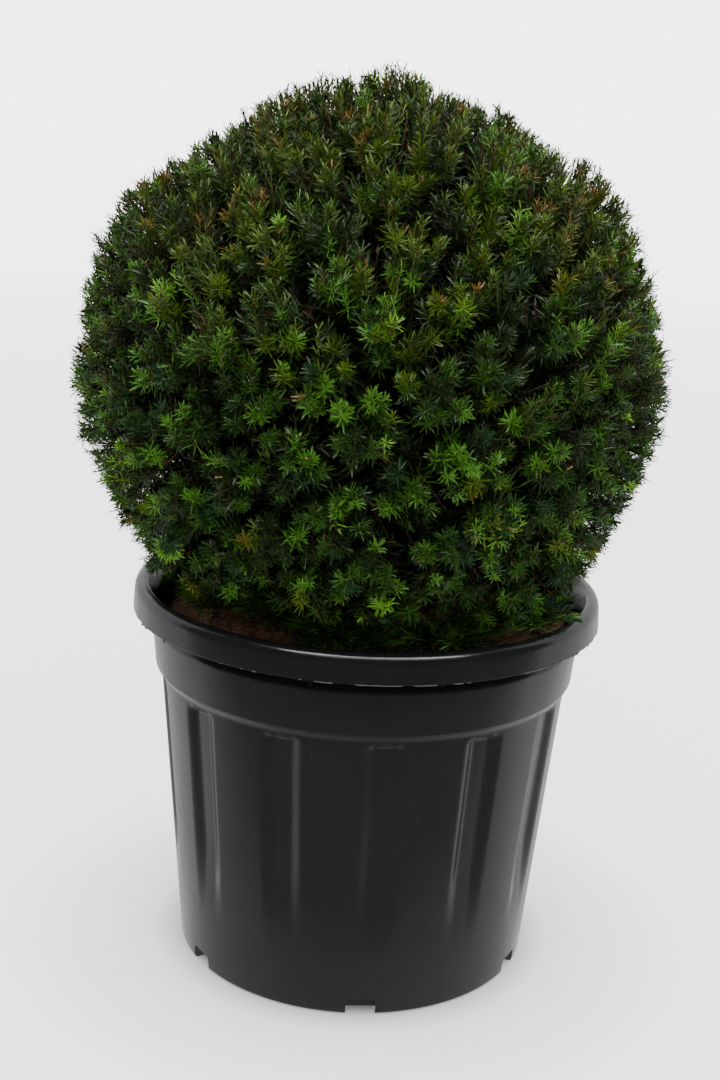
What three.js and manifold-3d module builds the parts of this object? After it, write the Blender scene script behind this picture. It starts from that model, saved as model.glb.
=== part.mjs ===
// A ball of anglo-japanese yew, kept clipped, in a black nursery pot.
// Millimetres, +Z up. The origin is the middle of the pot's flat underside, and the front faces -Y.

import * as THREE from "three";
import { mergeVertices } from "three/addons/utils/BufferGeometryUtils.js";
import Module from "manifold-3d";

const wasm = await Module();
wasm.setup();

// Driving dimensions, in millimetres, with angles in degrees.

const CLEARANCE = 0.3; // between neighbouring pieces

const POT = {
  height: 321, // floor to the top of the rim
  lipRadius: 195, // the turned-down lip, at its lower edge
  lipDrop: 23,
  crestRadius: 193.5, // the lip leans in a little to here
  crestRound: 3, // and turns over to its flat top within this
  crestInside: 184, // the flat top's inner edge
  collarRadius: 179, // the band under the lip, where it meets the lip
  collarFootRadius: 176,
  collarRound: 9, // the height over which the band's foot curves in
  collarIndent: 3, // and how far
  collarFoot: 247.5,
  collarInside: 170, // the inside's radius behind the band
  wallTop: 243.5,
  wallTopRadius: 171,
  baseRadius: 150,
  footRound: 3,
  skin: 2.5,
  plate: 4, // thickness of the floor plate
};

const FLUTES = {
  count: 13,
  first: -83.4, // azimuth of one groove's middle line
  share: 0.42, // of each pitch that is groove
  depth: 5.5,
  fadeFrom: 50, // the grooves run out into the plain foot between these heights
  fadeTo: 130,
  topSlope: 6, // the height over which a groove comes out to the wall at its top
};

const NOTCHES = { count: 6, first: -26, width: 24, height: 13, depth: 13 };

const SOIL = {
  level: 290,
  gap: 0.9, // between the soil and the pot's wall
  pad: 30, // radius of the flat ground round the stem
  unevenness: 1.75,
  crown: 115, // radius of a low ring of higher ground
  crownHeight: 1,
  edgeWidth: 12, // the soil sinks towards the wall over this width
  edgeDrop: 5,
};

const STEM = {
  footRadius: 18,
  radius: 12,
  flareHeight: 14,
  forkHeight: 330,
  forkSwell: 2, // how much thicker it is at its fork
  forkSwellHeight: 16,
  lean: 5,
  lobes: 5,
  lobeDepth: 0.16, // as a share of the radius
  lobeEnd: 0.6, // the lobes run out at this share of its height
};

const BALL = {
  centre: new THREE.Vector3(-6, 0, 506),
  radius: 241, // to the tips
  rise: 224,
  fall: 265,
  fullness: 1.9, // 2 is a true ellipse, and less is more peaked
  unevenness: 2, // the height of each wave
  lowest: -0.74, // its lower edge, as the cosine of the angle from straight up
  heart: new THREE.Vector3(0, 0, 410), // where the leaders part
  floor: 337, // the mass stays above this height round the stem
  floorRadius: 60,
  edge: 327, // and above this one from the edge radius on
  edgeRadius: 150,
  skirt: 324.5, // its outermost sprays hang lower, over the rim
  skirtRadius: 171,
  seed: 20251,
};

// The long waves of the ball's surface: how often each runs round and up it, and where it starts.
const WAVES = [
  { round: 3, up: 4, start: 1.3 },
  { round: 5, up: -6, start: 0.4 },
  { round: 2, up: 9, start: 2.2 },
];

const CORE = {
  detail: 4,
  depth: 28, // its surface lies this far inside the tips
  unevenness: 9, // and dips this much more at most
  lift: 3, // above the mass's own floor
  needle: 13,
  needleStray: 0.3, // as a share of the length
};

// Places where the clipping left the ball proud or hollow.
const SWELLINGS = [
  { azimuth: 180, elevation: 22, spread: 12, height: 7 },
  { azimuth: 178, elevation: 47, spread: 15, height: -12 },
  { azimuth: 3, elevation: 53, spread: 9, height: -12 },
  { azimuth: 0, elevation: 36, spread: 12, height: 8 },
  { azimuth: 0, elevation: -25, spread: 14, height: 9 },
  { azimuth: 180, elevation: -12, spread: 8, height: 5 },
  { azimuth: -2, elevation: 4, spread: 9, height: -10 },
  { azimuth: -84, elevation: 12, spread: 8, height: -13 },
  { azimuth: -88, elevation: 84, spread: 12, height: 5 },
];

// The crown's levels of branching: how many twigs end there, how far out, and how thick.
const LEADERS = { count: 9, seed: 11, reach: 0.36, radius: 7 };
const BRANCHES = { count: 42, seed: 12, reach: 0.68, radius: 4 };
const SPRAYS = {
  count: 205,
  seed: 13,
  needle: 23,
  needleStray: 0.15, // as a share of the length
  rises: [15, 29], // degrees that the lower and upper needles stand up from square to their shoot
  riseStray: 7,
  rootRadius: 2.6,
  whorlRadius: 4.6,
  whorlTaper: 0.75,
  whorlShare: 0.4, // how far along its free part a shoot has its whorl
  whorlHeight: 7,
  sunk: 12,
  tipStray: 5,
  shorter: 0.1, // the most that a shoot falls short, as a share of its length
};
const FITTING_TRIES = 12;

// The low boughs under the ball: where each mass hangs, how far it spreads to each side, how far
// from the axis it reaches, and how far it droops.
const LOW_MASSES = [
  { azimuth: -97, spread: 16, reach: 168, droop: 6 },
  { azimuth: -63, spread: 16, reach: 166, droop: 7 },
  { azimuth: -28, spread: 17, reach: 180, droop: 3 },
  { azimuth: 13, spread: 21, reach: 165, droop: 5 },
  { azimuth: 58, spread: 21, reach: 166, droop: 6 },
  { azimuth: 104, spread: 22, reach: 168, droop: 5 },
  { azimuth: 150, spread: 21, reach: 164, droop: 6 },
  { azimuth: -166, spread: 20, reach: 156, droop: 4 },
  { azimuth: -130, spread: 14, reach: 126, droop: 0 },
];
const LOW_BOUGH = {
  fromRadius: 3.4,
  tipRadius: 2.6,
  tipReach: 84,
  rootHeight: 307,
  tipHeight: 312,
  arch: 5, // how much higher it runs half-way
};
const LOW_STEM = { length: 20, radius: 2.2 }; // from the bough's tip to where a mass's twigs part
const LOW_TWIGS = {
  count: 4,
  fan: 0.6, // how much of the mass's spread they fill
  setBack: 6, // they leave the stem this far before its end
  shortOf: 33, // and end this far inside the mass's reach, or a little further in
  stray: 8,
  fromRadius: 2,
  tipRadius: 1.5,
};
const LOW_SPRAYS = {
  sunk: 7,
  needle: 20,
  thickness: 0.5, // they lie flatter than wide
  endLength: 36,
  endShare: 0.92, // how far along its twig the end spray has its root
  sideLength: 30,
  sideShare: 0.45,
  sideways: 0.9,
  seed: 7001,
  seedStep: 977,
};
const LOW_SPACE = { overSoil: 6, overRim: 3, underBall: 1, pastBough: 4, pastReach: 12, rimMargin: 4 };

// The colours seen in daylight, as red, green and blue.
const COLOURS = {
  pot: [0.035, 0.036, 0.04],
  soil: [0.09, 0.05, 0.035],
  bark: [0.2, 0.12, 0.08],
  foliage: [0.1, 0.2, 0.06],
};

const UP = new THREE.Vector3(0, 0, 1);

// Park and Miller's generator: one seed always gives one plant.
function seeded(seed) {
  let state = seed;
  return () => {
    state = (state * 16807) % 2147483647;
    return state / 2147483647;
  };
}

function radians(degrees) {
  return (degrees * Math.PI) / 180;
}

// 0 below low, 1 above high, and smooth between them.
function smoothstep(low, high, value) {
  return THREE.MathUtils.smoothstep(value, low, high);
}

// A value that strays by up to that much to either side.
function strayed(value, stray, random) {
  return value + stray * (2 * random() - 1);
}

function polar(azimuth, radius, z) {
  return new THREE.Vector3(
    radius * Math.cos(radians(azimuth)),
    radius * Math.sin(radians(azimuth)),
    z,
  );
}

// Geometry in and out of the solid modeller.

function solidOf(geometry) {
  const bare = geometry.clone();
  bare.deleteAttribute("normal");
  bare.deleteAttribute("uv");
  const merged = mergeVertices(bare, 1e-3);
  return new wasm.Manifold(
    new wasm.Mesh({
      numProp: 3,
      vertProperties: new Float32Array(merged.attributes.position.array),
      triVerts: new Uint32Array(merged.index.array),
    }),
  );
}

function geometryOf(solid) {
  const mesh = solid.getMesh();
  const geometry = new THREE.BufferGeometry();
  geometry.setAttribute("position", new THREE.BufferAttribute(mesh.vertProperties, 3));
  geometry.setIndex(new THREE.BufferAttribute(mesh.triVerts, 1));
  geometry.computeVertexNormals();
  return geometry;
}

function fused(geometries) {
  return wasm.Manifold.union(geometries.map(solidOf));
}

function indexed(points, faces) {
  const geometry = new THREE.BufferGeometry();
  geometry.setAttribute(
    "position",
    new THREE.Float32BufferAttribute(points.flatMap((p) => [p.x, p.y, p.z]), 3),
  );
  geometry.setIndex(faces.flat());
  return geometry;
}

// A closed profile of [radius, height] turned about Z, with each vertex then moved by reshape.
function turned(profile, segments, reshape = (point) => point) {
  const points = profile.map(([radius, z]) => new THREE.Vector2(radius, z));
  const geometry = new THREE.LatheGeometry(points, segments).rotateX(Math.PI / 2);
  const position = geometry.attributes.position;
  const point = new THREE.Vector3();
  for (let i = 0; i < position.count; i++) {
    reshape(point.fromBufferAttribute(position, i));
    position.setXYZ(i, point.x, point.y, point.z);
  }
  return geometry;
}

// A direction that is far from parallel to the given one.
function oblique(direction) {
  const upright = Math.abs(direction.z) >= 0.9;
  return upright ? new THREE.Vector3(1, 0, 0) : UP;
}

// The part of a vector that is square to a direction, as a unit vector.
function squareTo(direction, vector) {
  return vector.clone().addScaledVector(direction, -vector.dot(direction)).normalize();
}

// A round limb through the points, as thick at each as radii says, closed at both ends.
function limb(points, radii, sides) {
  const along = points.map((_, i) => {
    const [before, after] = [points[Math.max(i - 1, 0)], points[Math.min(i + 1, points.length - 1)]];
    return after.clone().sub(before).normalize();
  });
  const start = oblique(along[0]);
  const vertices = [];
  points.forEach((point, i) => {
    const across = squareTo(along[i], start);
    const aside = along[i].clone().cross(across);
    for (let k = 0; k < sides; k++) {
      const turn = (2 * Math.PI * k) / sides;
      vertices.push(
        point
          .clone()
          .addScaledVector(across, radii[i] * Math.cos(turn))
          .addScaledVector(aside, radii[i] * Math.sin(turn)),
      );
    }
  });
  const faces = [];
  for (let i = 0; i + 1 < points.length; i++) {
    for (let k = 0; k < sides; k++) {
      const [a, b] = [i * sides + k, i * sides + ((k + 1) % sides)];
      faces.push([a, b, b + sides], [a, b + sides, a + sides]);
    }
  }
  const last = (points.length - 1) * sides;
  for (let k = 1; k + 1 < sides; k++) {
    faces.push([0, k + 1, k], [last, last + k, last + k + 1]);
  }
  return indexed(vertices, faces);
}

// Draws the triangle a, b, c out into a needle that ends in the point apex.
function needleFaces([a, b, c], apex) {
  return [
    [a, b, apex],
    [b, c, apex],
    [c, a, apex],
  ];
}

// A spray: a three-sided shoot on a bare root. Its whorl is a band of six triangles, each drawn
// out into a needle, and the shoot ends in one more.
function spray({ root, direction, sunk, length, needle, thickness = 1 }, random) {
  const across = squareTo(direction, oblique(direction));
  const aside = direction.clone().cross(across);
  const twist = 2 * Math.PI * random();
  const outward = (step) => {
    const turn = twist + (Math.PI * step) / 3;
    return across.clone().multiplyScalar(Math.cos(turn)).addScaledVector(aside, Math.sin(turn));
  };
  const first = sunk + SPRAYS.whorlShare * (length - sunk);
  const points = [];
  const ring = (height, radius, step) => {
    const middle = root.clone().addScaledVector(direction, height);
    for (let side = 0; side < 3; side++) {
      points.push(middle.clone().addScaledVector(outward(step + 2 * side), radius));
    }
  };
  ring(0, SPRAYS.rootRadius, 0);
  ring(first, SPRAYS.whorlRadius, 0);
  ring(first + SPRAYS.whorlHeight, SPRAYS.whorlTaper * SPRAYS.whorlRadius, 1);
  const faces = [[0, 2, 1]];
  for (let side = 0; side < 3; side++) {
    const next = (side + 1) % 3;
    faces.push([side, next, next + 3], [side, next + 3, side + 3]);
  }
  for (let side = 0; side < 3; side++) {
    const next = (side + 1) % 3;
    const bases = [
      [3 + side, 3 + next, 6 + side],
      [3 + next, 6 + next, 6 + side],
    ];
    bases.forEach((base, half) => {
      const rise = radians(strayed(SPRAYS.rises[half], SPRAYS.riseStray, random));
      const size = strayed(needle, SPRAYS.needleStray * needle, random);
      const out = outward(2 * side + 1 + half).multiplyScalar(size * Math.cos(rise));
      out.z *= thickness;
      const height = first + 0.5 * SPRAYS.whorlHeight + size * Math.sin(rise);
      const apex = root.clone().addScaledVector(direction, height).add(out);
      faces.push(...needleFaces(base, points.push(apex) - 1));
    });
  }
  const tip = points.push(root.clone().addScaledVector(direction, length)) - 1;
  for (let side = 0; side < 3; side++) {
    faces.push([6 + side, 6 + ((side + 1) % 3), tip]);
  }
  return { geometry: indexed(points, faces), points };
}

// Adds a spray in the first of a few turns that keeps it to its space, or leaves it out.
function addFitting(pieces, make, inSpace) {
  for (let turn = 0; turn < FITTING_TRIES; turn++) {
    const made = make();
    if (made.points.every(inSpace)) {
      pieces.push(made.geometry);
      return;
    }
  }
}

// The pot.

// Wall radius at a height below the collar, before the grooves are pressed in.
function wallRadius(z) {
  return THREE.MathUtils.lerp(POT.baseRadius, POT.wallTopRadius, z / POT.wallTop);
}

// Lathe segments are drawn together round the grooves: sides and bottom edges of a groove, then a rib.
const FLUTE_STEPS = [-0.5, -0.26, 0.26, 0.5, 0.5 / FLUTES.share];

function potPoint(point) {
  const steps = FLUTE_STEPS.length;
  const segment = Math.round((Math.atan2(point.y, point.x) / (2 * Math.PI)) * steps * FLUTES.count);
  const wrapped = (segment + steps * FLUTES.count) % (steps * FLUTES.count);
  const pitch = 360 / FLUTES.count;
  const offset = FLUTE_STEPS[wrapped % steps];
  const azimuth = FLUTES.first + (Math.floor(wrapped / steps) + offset * FLUTES.share) * pitch;
  const radius = Math.hypot(point.x, point.y);
  const inGroove = Math.abs(offset) < FLUTE_STEPS[3];
  const onWall = radius > wallRadius(point.z) - 1 && point.z < POT.wallTop - 1;
  const fade = smoothstep(FLUTES.fadeFrom, FLUTES.fadeTo, point.z);
  const pressed = onWall && inGroove ? FLUTES.depth * fade : 0;
  return point.copy(polar(azimuth, radius - pressed, point.z));
}

// The inside's radius at a height below the collar.
function innerWall(z) {
  return wallRadius(z) - FLUTES.depth - POT.skin;
}

function potGeometry() {
  const lipEdge = POT.height - POT.lipDrop;
  const profile = [
    [0, 0],
    [POT.baseRadius - POT.footRound, 0],
    [POT.baseRadius, POT.footRound],
    [wallRadius(FLUTES.fadeFrom), FLUTES.fadeFrom],
    [wallRadius(FLUTES.fadeTo), FLUTES.fadeTo],
    [wallRadius(POT.wallTop - FLUTES.topSlope), POT.wallTop - FLUTES.topSlope],
    [POT.wallTopRadius, POT.wallTop],
    [POT.collarFootRadius - POT.collarIndent, POT.collarFoot],
    [POT.collarFootRadius, POT.collarFoot + POT.collarRound],
    [POT.collarRadius, lipEdge],
    [POT.lipRadius, lipEdge],
    [POT.crestRadius, POT.height - POT.crestRound],
    [POT.crestRadius - POT.crestRound, POT.height],
    [POT.crestInside, POT.height],
    [POT.collarInside + 3, lipEdge + 0.3 * POT.lipDrop],
    [POT.collarInside, POT.collarFoot + POT.collarRound],
    [innerWall(POT.wallTop), POT.wallTop],
    [innerWall(POT.plate), POT.plate],
    [0, POT.plate],
  ];
  let pot = solidOf(turned(profile, FLUTE_STEPS.length * FLUTES.count, potPoint));
  for (let n = 0; n < NOTCHES.count; n++) {
    const azimuth = NOTCHES.first + (360 * n) / NOTCHES.count;
    const cutter = new THREE.BoxGeometry(2 * NOTCHES.depth, NOTCHES.width, 2 * NOTCHES.height)
      .translate(POT.baseRadius, 0, 0)
      .rotateZ(radians(azimuth));
    pot = pot.subtract(solidOf(cutter));
  }
  return geometryOf(pot);
}

// The soil: it fills the pot, with a small pad of flat ground under the stem.
function soilGeometry() {
  const top = POT.collarInside - SOIL.gap;
  const rough = (point) => {
    const radius = Math.hypot(point.x, point.y);
    if (point.z > SOIL.level - 2 * SOIL.edgeDrop) {
      const azimuth = Math.atan2(point.y, point.x);
      const wave = Math.sin(3 * azimuth + 0.04 * radius) + Math.sin(7 * azimuth - 0.07 * radius);
      point.z += SOIL.unevenness * wave * smoothstep(SOIL.pad, 2 * SOIL.pad, radius);
    }
    return point;
  };
  const profile = [
    [0, POT.plate + CLEARANCE],
    [innerWall(POT.plate) - SOIL.gap, POT.plate + CLEARANCE],
    [innerWall(POT.wallTop) - SOIL.gap, POT.wallTop],
    [top, POT.collarFoot + POT.collarRound],
    [top, SOIL.level - SOIL.edgeDrop],
    [top - SOIL.edgeWidth, SOIL.level - 0.4 * SOIL.edgeDrop],
    [SOIL.crown, SOIL.level + SOIL.crownHeight],
    [2 * SOIL.pad, SOIL.level],
    [SOIL.pad, SOIL.level],
    [0, SOIL.level],
  ];
  return turned(profile, 36, rough);
}

// The stem: lobed where the roots leave it, and leaning a little on its way to the fork. Grown by
// the clearance, it is what the boughs are cut clear of.
function stemGeometry(grown = 0) {
  const foot = SOIL.level + CLEARANCE - grown;
  const rows = 6;
  const profile = [[0, foot]];
  for (let i = 0; i <= rows; i++) {
    const share = (i / rows) ** 1.5; // closer together at the foot
    const z = THREE.MathUtils.lerp(foot, STEM.forkHeight, share);
    const flare = (STEM.footRadius - STEM.radius) * Math.exp(-(z - foot) / STEM.flareHeight);
    const swell = smoothstep(STEM.forkHeight - STEM.forkSwellHeight, STEM.forkHeight, z);
    profile.push([STEM.radius + flare + STEM.forkSwell * swell + grown, z]);
  }
  profile.push([0, STEM.forkHeight + grown]);
  return turned(profile, 2 * STEM.lobes, (point) => {
    const azimuth = Math.atan2(point.y, point.x);
    const rise = (point.z - foot) / (STEM.forkHeight - foot);
    const lobe = STEM.lobeDepth * Math.cos(STEM.lobes * azimuth) * (1 - smoothstep(0, STEM.lobeEnd, rise));
    point.x = point.x * (1 + lobe) + STEM.lean * (rise * rise - 1);
    point.y *= 1 + lobe;
    return point;
  });
}

// The ball.

// How far the tips reach from the ball's centre in a direction.
function outlineRadius(direction) {
  const power = BALL.fullness;
  const half = direction.z > 0 ? BALL.rise : BALL.fall;
  const flat = Math.hypot(direction.x, direction.y);
  const level = (flat / BALL.radius) ** power + (Math.abs(direction.z) / half) ** power;
  const azimuth = Math.atan2(direction.y, direction.x);
  let radius = level ** (-1 / power);
  for (const wave of WAVES) {
    radius += BALL.unevenness * Math.sin(wave.round * azimuth + wave.up * direction.z + wave.start);
  }
  for (const swelling of SWELLINGS) {
    const flatness = Math.cos(radians(swelling.elevation));
    const middle = polar(swelling.azimuth, flatness, Math.sin(radians(swelling.elevation)));
    const apart = middle.angleTo(direction) / radians(swelling.spread);
    radius += swelling.height * Math.exp(-apart * apart);
  }
  return radius;
}

function outlinePoint(direction) {
  return BALL.centre.clone().addScaledVector(direction, outlineRadius(direction));
}

// A level's directions, evenly spread from the top of the ball down to its lower edge, and each a
// little out of step.
function directions(level) {
  const random = seeded(level.seed);
  const golden = Math.PI * (3 - Math.sqrt(5));
  const stray = 0.5 / Math.sqrt(level.count);
  return Array.from({ length: level.count }, (_, i) => {
    const z = 1 - ((1 - BALL.lowest) * (i + 0.5)) / level.count;
    const flat = Math.sqrt(1 - z * z);
    return new THREE.Vector3(
      strayed(flat * Math.cos(golden * i), stray, random),
      strayed(flat * Math.sin(golden * i), stray, random),
      strayed(z, stray, random),
    ).normalize();
  });
}

// One level of twigs: each ends on its way from the heart to the outline, and starts at the
// nearest end of the level before.
function grow(level, parents) {
  return directions(level).map((direction) => {
    const end = BALL.heart.clone().lerp(outlinePoint(direction), level.reach);
    const parent = parents.reduce((near, other) =>
      other.end.distanceTo(end) < near.end.distanceTo(end) ? other : near,
    );
    return { start: parent.end, end };
  });
}

// The ball's underside rises from its edge towards the stem, over the low boughs.
function ballFloor(point) {
  const outward = smoothstep(BALL.floorRadius, BALL.edgeRadius, Math.hypot(point.x, point.y));
  return THREE.MathUtils.lerp(BALL.floor, BALL.edge, outward);
}

function coreFloor(point) {
  return ballFloor(point) + CORE.lift;
}

// The packed inner foliage: a lumpy body whose faces above its floor are all drawn out a little.
function coreGeometry(random) {
  const body = new THREE.IcosahedronGeometry(1, CORE.detail);
  body.deleteAttribute("normal");
  body.deleteAttribute("uv");
  const merged = mergeVertices(body, 1e-3);
  const position = merged.attributes.position;
  const points = [];
  for (let i = 0; i < position.count; i++) {
    const direction = new THREE.Vector3().fromBufferAttribute(position, i).normalize();
    const tip = outlinePoint(direction);
    tip.addScaledVector(direction, -CORE.depth - CORE.unevenness * random());
    tip.z = Math.max(tip.z, coreFloor(tip));
    points.push(tip);
  }
  const faces = [];
  for (let i = 0; i < merged.index.count; i += 3) {
    const face = [0, 1, 2].map((k) => merged.index.getX(i + k));
    if (face.some((corner) => points[corner].z <= coreFloor(points[corner]) + 1)) {
      faces.push(face);
      continue;
    }
    const middle = new THREE.Vector3();
    face.forEach((corner) => middle.addScaledVector(points[corner], 1 / 3));
    const outward = middle.clone().sub(BALL.centre).normalize();
    middle.addScaledVector(outward, strayed(CORE.needle, CORE.needleStray * CORE.needle, random));
    faces.push(...needleFaces(face, points.push(middle) - 1));
  }
  return indexed(points, faces);
}

function inBallSpace(point) {
  const outside = Math.hypot(point.x, point.y) > BALL.skirtRadius;
  return point.z > (outside ? BALL.skirt : ballFloor(point));
}

function ballGeometry() {
  const random = seeded(BALL.seed);
  const leaders = grow(LEADERS, [{ end: BALL.heart }]);
  const branches = grow(BRANCHES, leaders);
  const foot = new THREE.Vector3(0, 0, STEM.forkHeight + CLEARANCE);
  const pieces = [
    coreGeometry(random),
    limb([foot, BALL.heart], [STEM.radius, LEADERS.radius], 6),
    ...leaders.map((twig) => limb([twig.start, twig.end], [LEADERS.radius, BRANCHES.radius], 5)),
    ...branches.map((twig) => limb([twig.start, twig.end], [BRANCHES.radius, SPRAYS.rootRadius], 4)),
  ];
  const { sunk, needle, tipStray, shorter } = SPRAYS;
  for (const direction of directions(SPRAYS)) {
    const tip = outlinePoint(direction);
    const root = tip.clone().addScaledVector(direction, -CORE.depth - sunk);
    tip.set(
      strayed(tip.x, tipStray, random),
      strayed(tip.y, tipStray, random),
      strayed(tip.z + tipStray, tipStray, random),
    );
    const along = tip.sub(root);
    const length = along.length() * (1 - shorter * random());
    const shape = { root, direction: along.normalize(), sunk, length, needle };
    addFitting(pieces, () => spray(shape, random), inBallSpace);
  }
  return geometryOf(fused(pieces));
}

// The low boughs and the masses at their tips.

// From inside the leaning stem over a low arch to the bough's tip.
function lowBoughLine(mass) {
  return [
    new THREE.Vector3(-0.75 * STEM.lean, 0, LOW_BOUGH.rootHeight),
    polar(mass.azimuth, 0.5 * LOW_BOUGH.tipReach, LOW_BOUGH.tipHeight + LOW_BOUGH.arch),
    polar(mass.azimuth, LOW_BOUGH.tipReach, LOW_BOUGH.tipHeight),
  ];
}

function lowBoughGeometry(mass) {
  const points = new THREE.CatmullRomCurve3(lowBoughLine(mass)).getPoints(3);
  const radii = points.map((_, i) => {
    return THREE.MathUtils.lerp(LOW_BOUGH.fromRadius, LOW_BOUGH.tipRadius, i / (points.length - 1));
  });
  const bough = solidOf(limb(points, radii, 5));
  return geometryOf(bough.subtract(solidOf(stemGeometry(CLEARANCE))));
}

// Whether a point is in the space kept for one low mass: over the soil and the rim, under the
// ball, and between its neighbours.
function inLowSpace(point, mass) {
  const radius = Math.hypot(point.x, point.y);
  const azimuth = (Math.atan2(point.y, point.x) * 180) / Math.PI;
  const aside = THREE.MathUtils.euclideanModulo(azimuth - mass.azimuth + 180, 360) - 180;
  const overRim = radius > POT.collarInside - LOW_SPACE.rimMargin;
  const lowest = overRim ? POT.height + LOW_SPACE.overRim : SOIL.level + LOW_SPACE.overSoil;
  return (
    point.z < ballFloor(point) - LOW_SPACE.underBall &&
    point.z > lowest &&
    radius > LOW_BOUGH.tipReach + LOW_SPACE.pastBough &&
    radius < mass.reach + LOW_SPACE.pastReach &&
    Math.abs(aside) < mass.spread
  );
}

// One twig of a low mass, from the end of its stem. Every other twig droops.
function lowTwig(mass, number, start, random) {
  const fan = (2 * number) / (LOW_TWIGS.count - 1) - 1;
  const reach = mass.reach - LOW_TWIGS.shortOf - LOW_TWIGS.stray * random();
  const drop = mass.droop * (number % 2);
  const azimuth = mass.azimuth + LOW_TWIGS.fan * mass.spread * fan;
  return { start, end: polar(azimuth, reach, LOW_BOUGH.tipHeight - 2 - drop), outer: Math.sign(fan) };
}

// A spray at a twig's end, where side is 0, or else part-way along it to that side.
function lowSpray(twig, side, random) {
  const away = twig.end.clone().sub(twig.start).normalize();
  const direction = away
    .clone()
    .addScaledVector(UP.clone().cross(away).normalize(), LOW_SPRAYS.sideways * side)
    .addScaledVector(UP, side ? 0.5 * random() : strayed(0, 0.15, random))
    .normalize();
  const root = twig.start.clone().lerp(twig.end, side ? LOW_SPRAYS.sideShare : LOW_SPRAYS.endShare);
  const length = side ? LOW_SPRAYS.sideLength : LOW_SPRAYS.endLength;
  return spray({ ...LOW_SPRAYS, root, direction, length }, random);
}

function lowMassGeometry(mass, seed) {
  const random = seeded(seed);
  const line = lowBoughLine(mass);
  const along = new THREE.CatmullRomCurve3(line).getTangent(1);
  const foot = line[2].clone().addScaledVector(along, CLEARANCE);
  const knot = foot.clone().addScaledVector(along, LOW_STEM.length);
  const start = knot.clone().addScaledVector(along, -LOW_TWIGS.setBack);
  const pieces = [limb([foot, knot], [LOW_BOUGH.tipRadius, LOW_STEM.radius], 5)];
  for (let number = 0; number < LOW_TWIGS.count; number++) {
    const twig = lowTwig(mass, number, start, random);
    pieces.push(limb([twig.start, twig.end], [LOW_TWIGS.fromRadius, LOW_TWIGS.tipRadius], 4));
    for (const side of [0, twig.outer]) {
      addFitting(pieces, () => lowSpray(twig, side, random), (point) => inLowSpace(point, mass));
    }
  }
  return geometryOf(fused(pieces));
}

// Each sub-part with its own material.

function material(colour, roughness) {
  return new THREE.MeshStandardMaterial({
    color: new THREE.Color().setRGB(...colour, THREE.SRGBColorSpace),
    roughness,
    metalness: 0,
  });
}

const yew = new THREE.Group();

function place(name, geometry, look) {
  const mesh = new THREE.Mesh(geometry, look);
  mesh.name = name;
  yew.add(mesh);
}

place("pot", potGeometry(), material(COLOURS.pot, 0.35));
place("soil", soilGeometry(), material(COLOURS.soil, 0.95));
place("stem", stemGeometry(), material(COLOURS.bark, 0.9));
place("clipped_ball", ballGeometry(), material(COLOURS.foliage, 0.6));
LOW_MASSES.forEach((mass, i) => {
  const seed = LOW_SPRAYS.seed + LOW_SPRAYS.seedStep * i;
  place(`low_bough_${i + 1}`, lowBoughGeometry(mass), material(COLOURS.bark, 0.9));
  place(`low_sprays_${i + 1}`, lowMassGeometry(mass, seed), material(COLOURS.foliage, 0.6));
});

export default yew;
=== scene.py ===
# A ball of anglo-japanese yew, kept clipped, in a black nursery pot.
# Lengths are millimetres until a mesh is made, and angles among the dimensions are degrees.
# The origin is the middle of the pot's underside, and the front is towards -Y.

import math
from types import SimpleNamespace as Sizes

import bmesh
import bpy
import numpy as np
from mathutils import Matrix, Vector


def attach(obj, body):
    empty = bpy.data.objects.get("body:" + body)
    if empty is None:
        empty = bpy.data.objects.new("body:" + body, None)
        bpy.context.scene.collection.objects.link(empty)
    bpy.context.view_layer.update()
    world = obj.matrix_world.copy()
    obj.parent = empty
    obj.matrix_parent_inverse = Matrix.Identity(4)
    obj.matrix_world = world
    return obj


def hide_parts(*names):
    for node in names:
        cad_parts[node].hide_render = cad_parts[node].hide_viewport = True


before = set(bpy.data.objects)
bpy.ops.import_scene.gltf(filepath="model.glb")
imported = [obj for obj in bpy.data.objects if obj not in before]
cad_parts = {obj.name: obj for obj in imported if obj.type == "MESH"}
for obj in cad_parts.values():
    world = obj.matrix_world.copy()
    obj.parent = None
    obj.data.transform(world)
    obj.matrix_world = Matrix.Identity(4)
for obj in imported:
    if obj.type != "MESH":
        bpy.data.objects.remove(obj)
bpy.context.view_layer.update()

MM = 0.001
UP = np.array([0.0, 0.0, 1.0])
GOLDEN_ANGLE = math.pi * (3 - math.sqrt(5))
PIECE_LIMIT = 190000  # triangles in one joined piece
NOISE_CELLS = 64  # a side of the grid under a smooth noise

# The pot, as radii and heights.
POT_HEIGHT = 321
LIP_RADIUS = 195
CREST_RADIUS = 193.5
CREST_ROUND = 8.5
CREST_INSIDE = 184
LIP_EDGE = 298
NECK = Sizes(radius=174, height=13)  # drawn in under the lip
COLLAR_RADIUS = 179
COLLAR_FOOT_RADIUS = 176
COLLAR_ROUND = 2.5
COLLAR_INDENT = 3
COLLAR_FOOT = 247.5
WALL_TOP = 243.5
WALL_TOP_RADIUS = 171
BASE_RADIUS = 150
PLATE = 4
INSIDE = Sizes(base=142.3, wall_top=163, collar=170, lip=173)  # radii
OUT_OF_ROUND = Sizes(by=0.35, turn=40, heights=(200, 318))
NOTCHES = Sizes(count=6, first=-26, width=24, height=13, depth=13, below=6, round=4)

# The grooves pressed into the wall, and the steps of its mesh.
FLUTES = Sizes(count=13, first=-83.4, share=0.42, depth=5, fade=(50, 130), arch=2, slope=5)
FINE_FROM = WALL_TOP - 30  # the wall's mesh is finer above this
WALL_STEPS = Sizes(fine=2.5, coarse=9)

# What moulding left under the lip, as the most that it hangs down and the size of its pattern.
FLASH = Sizes(drop=0.36, fine=1.1, broken=4.5, step=0.3)
BURRS = Sizes(drop=3.0, size=1.1, patch=17)

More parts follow.
